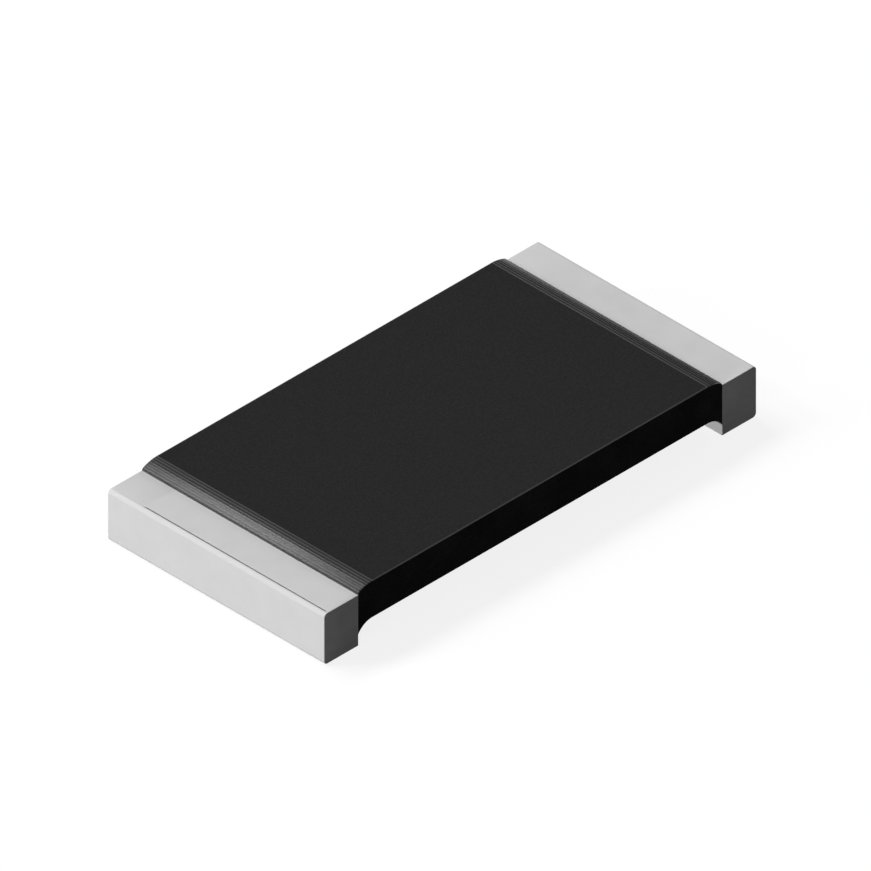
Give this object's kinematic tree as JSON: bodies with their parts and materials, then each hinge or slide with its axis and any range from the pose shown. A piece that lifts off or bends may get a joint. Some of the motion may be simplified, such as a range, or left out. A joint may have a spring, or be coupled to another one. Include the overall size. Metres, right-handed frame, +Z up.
{
  "type": "smd chip resistor",
  "caption": "Flat metal strip chip resistor: a black coated body between plain tinned end terminals, soldered flat to a circuit board.",
  "frame": {"origin": "on the board, under the middle of the chip", "axes": "+X along the chip from the left terminal to the right one, +Y across its width, +Z up from the board"},
  "size_m": [0.0064, 0.0032, 0.0007],
  "materials": {
    "tinned_copper": "matte tin plating over copper",
    "resistance_alloy": "rolled copper alloy strip, not plated",
    "black_epoxy": "satin black moulding compound"
  },
  "bodies": {
    "root": {"left_terminal": "tinned_copper", "right_terminal": "tinned_copper", "resistance_strip": "resistance_alloy", "epoxy_coat": "black_epoxy"}
  },
  "joints": []
}
